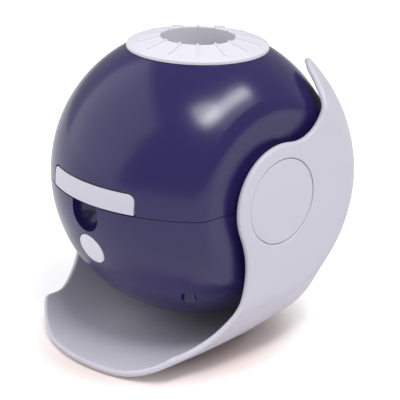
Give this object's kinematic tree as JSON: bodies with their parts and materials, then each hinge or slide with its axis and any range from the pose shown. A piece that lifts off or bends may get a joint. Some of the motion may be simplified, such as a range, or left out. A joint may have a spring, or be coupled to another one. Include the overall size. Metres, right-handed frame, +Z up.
{
  "type": "star night light projector",
  "caption": "Ball-shaped star projector night light with a focus ring, disc drawer and push button, tilting in a one-piece cradle.",
  "frame": {"origin": "on the table, under the middle of the footprint", "axes": "+Z up, +X along the pivot towards the right arm as seen from the front, -Y towards the front with the tongue, drawer and button"},
  "size_m": [0.128, 0.1587, 0.1603],
  "materials": {
    "shell": "satin moulded",
    "cradle": "satin moulded",
    "trim": "satin moulded",
    "ring": "satin moulded",
    "button": "satin moulded",
    "rubber": "matte",
    "friction": "matte",
    "acetal": "satin",
    "steel": "zinc plated",
    "black_plastic": "matte moulded",
    "aluminium": "die cast",
    "led_board": "white solder mask",
    "led": "clear dome over phosphor",
    "lens": "polished acrylic",
    "board": "solder mask",
    "film": "film disc"
  },
  "bodies": {
    "stand": {"cradle": "cradle", "rubber_feet": "rubber", "left_pivot_bush": "acetal", "right_pivot_bush": "acetal", "left_pivot_cap": "trim", "right_pivot_cap": "trim"},
    "projector_ball": {"upper_shell": "shell", "lower_shell": "shell", "left_pivot_hub": "steel", "right_pivot_hub": "steel", "hub_clips": "steel", "friction_washers": "friction", "shell_screws": "steel", "deck": "black_plastic", "tray_guides": "black_plastic", "optics_tower": "black_plastic", "deck_screws": "steel", "lamp_housing": "aluminium", "condenser_lens": "lens", "led_board": "led_board", "led_emitter": "led", "heat_sink": "aluminium", "lamp_screws": "steel", "motor": "steel", "motor_bracket": "steel", "main_board": "board", "power_socket": "black_plastic", "switch_board": "board", "tact_switch": "black_plastic", "switch_screws": "steel"},
    "focus_collar": {"focus_ring": "ring", "focus_retainer": "black_plastic"},
    "barrel": {"lens_barrel": "black_plastic", "front_lens": "lens", "rear_lens": "lens", "lens_spacer": "black_plastic", "lens_retainer": "black_plastic"},
    "tray": {"tray_plate": "black_plastic", "tray_front": "trim"},
    "disc": {"disc_carrier": "black_plastic", "star_disc": "film"},
    "pinion": {"motor_pinion": "acetal"},
    "button": {"power_button": "button", "switch_plunger": "acetal"}
  },
  "joints": [
    {"name": "tilt", "type": "hinge", "parent": "stand", "child": "projector_ball", "pos_m": [0, -0.00032, 0.0874], "axis": [1, 0, 0], "range_deg": [-15, 40]},
    {"name": "focus_turn", "type": "hinge", "parent": "projector_ball", "child": "focus_collar", "pos_m": [0, -0.00032, 0.0874], "axis": [0, 0, 1], "range_deg": [-120, 120]},
    {"name": "focus_slide", "type": "slide", "parent": "projector_ball", "child": "barrel", "axis": [0, 0, 1], "range_m": [-0.004, 0.004]},
    {"name": "tray_slide", "type": "slide", "parent": "projector_ball", "child": "tray", "axis": [0, -1, 0], "range_m": [0, 0.102]},
    {"name": "disc_spin", "type": "hinge", "parent": "tray", "child": "disc", "pos_m": [0, -0.00032, 0.0874], "axis": [0, 0, 1], "continuous": true},
    {"name": "pinion_spin", "type": "hinge", "parent": "projector_ball", "child": "pinion", "pos_m": [0, 0.03123, 0.0874], "axis": [0, 0, 1], "continuous": true},
    {"name": "button_press", "type": "slide", "parent": "projector_ball", "child": "button", "axis": [0, 0.933, 0.36], "range_m": [0, 0.0012], "stiffness_N_per_m": 500, "springref_m": -0.0005}
  ],
  "couplings": [
    {"joint": "focus_slide", "follows": "focus_turn", "m_per_rad": 0.0019},
    {"joint": "pinion_spin", "follows": "disc_spin", "ratio": -6}
  ]
}
